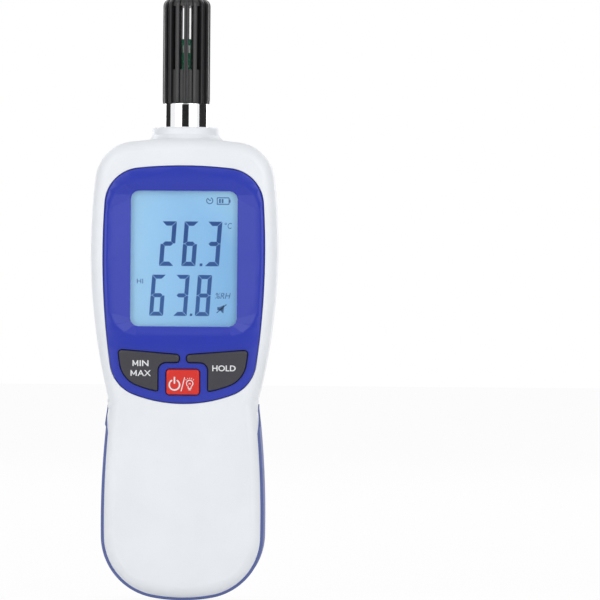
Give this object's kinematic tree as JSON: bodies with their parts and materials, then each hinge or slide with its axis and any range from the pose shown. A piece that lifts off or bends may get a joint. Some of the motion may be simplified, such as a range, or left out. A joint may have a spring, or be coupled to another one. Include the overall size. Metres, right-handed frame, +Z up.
{
  "type": "digital thermo-hygrometer",
  "caption": "Hand-held temperature and humidity meter: white case, blue bezel with display and keys, fluted sensor probe on top, battery door and tripod socket behind",
  "frame": {"origin": "centre of the tripod socket's mouth, in the plane of the flat back", "axes": "+X to the user's right seen from the front, +Y out of the back, +Z up towards the sensor probe"},
  "size_m": [0.064, 0.0333, 0.2054],
  "materials": {
    "white_plastic": "satin",
    "blue_plastic": "satin",
    "blue_grip": "matte",
    "grey_key": "matte",
    "red_key": "matte",
    "carbon": "matte",
    "clear_lens": "polished",
    "lcd_glass": "polished",
    "foam": "matte",
    "light_guide": "satin",
    "frame_plastic": "matte",
    "zebra_rubber": "matte",
    "circuit_board": "satin",
    "chip_black": "matte",
    "steel": "brushed",
    "spring_steel": "brushed",
    "plated_contact": "satin",
    "ribbon": "satin",
    "silicone": "matte",
    "cell_jacket": "gloss",
    "wire_jacket": "satin",
    "brass_insert": "machined",
    "label_film": "satin",
    "chrome": "polished",
    "black_plastic": "satin",
    "holder_plastic": "matte"
  },
  "bodies": {
    "case": {"front_case": "white_plastic", "rear_case": "white_plastic", "grip_band": "blue_grip", "front_bezel": "blue_plastic", "display_lens": "clear_lens", "lens_gasket": "foam", "lcd_front_glass": "lcd_glass", "lcd_rear_glass": "lcd_glass", "backlight_panel": "light_guide", "lcd_frame": "frame_plastic", "zebra_strip": "zebra_rubber", "main_board": "circuit_board", "main_chip": "chip_black", "crystal_can": "steel", "board_parts": "chip_black", "buzzer": "chip_black", "ribbon_socket": "frame_plastic", "sensor_ribbon": "ribbon", "board_screws": "steel", "case_screws": "steel", "keypad_mat": "silicone", "battery_left": "cell_jacket", "battery_middle": "cell_jacket", "battery_right": "cell_jacket", "battery_contacts": "plated_contact", "battery_springs": "spring_steel", "battery_leads": "wire_jacket", "tripod_insert": "brass_insert", "spec_label": "label_film", "probe_collar": "chrome", "sensor_guard": "black_plastic", "sensor_holder": "holder_plastic", "sensor_board": "circuit_board", "sensor_chip": "chip_black"},
    "battery_door": {"battery_door": "white_plastic"},
    "door_latch": {"door_latch": "white_plastic"},
    "min_max_key": {"min_max_key": "grey_key", "min_max_contact": "carbon"},
    "hold_key": {"hold_key": "grey_key", "hold_contact": "carbon"},
    "power_key": {"power_key": "red_key", "power_contact": "carbon"}
  },
  "joints": [
    {"name": "door_open", "type": "hinge", "parent": "case", "child": "battery_door", "pos_m": [0, 0, -0.1138], "axis": [-1, 0, 0], "range_deg": [0, 75]},
    {"name": "latch_press", "type": "slide", "parent": "battery_door", "child": "door_latch", "axis": [0, 0, -1], "range_m": [0, 0.0009], "stiffness_N_per_m": 1500},
    {"name": "min_max_key_press", "type": "slide", "parent": "case", "child": "min_max_key", "axis": [0, 1, 0], "range_m": [0, 0.0008], "stiffness_N_per_m": 600},
    {"name": "hold_key_press", "type": "slide", "parent": "case", "child": "hold_key", "axis": [0, 1, 0], "range_m": [0, 0.0008], "stiffness_N_per_m": 600},
    {"name": "power_key_press", "type": "slide", "parent": "case", "child": "power_key", "axis": [0, 1, 0], "range_m": [0, 0.0008], "stiffness_N_per_m": 600}
  ]
}
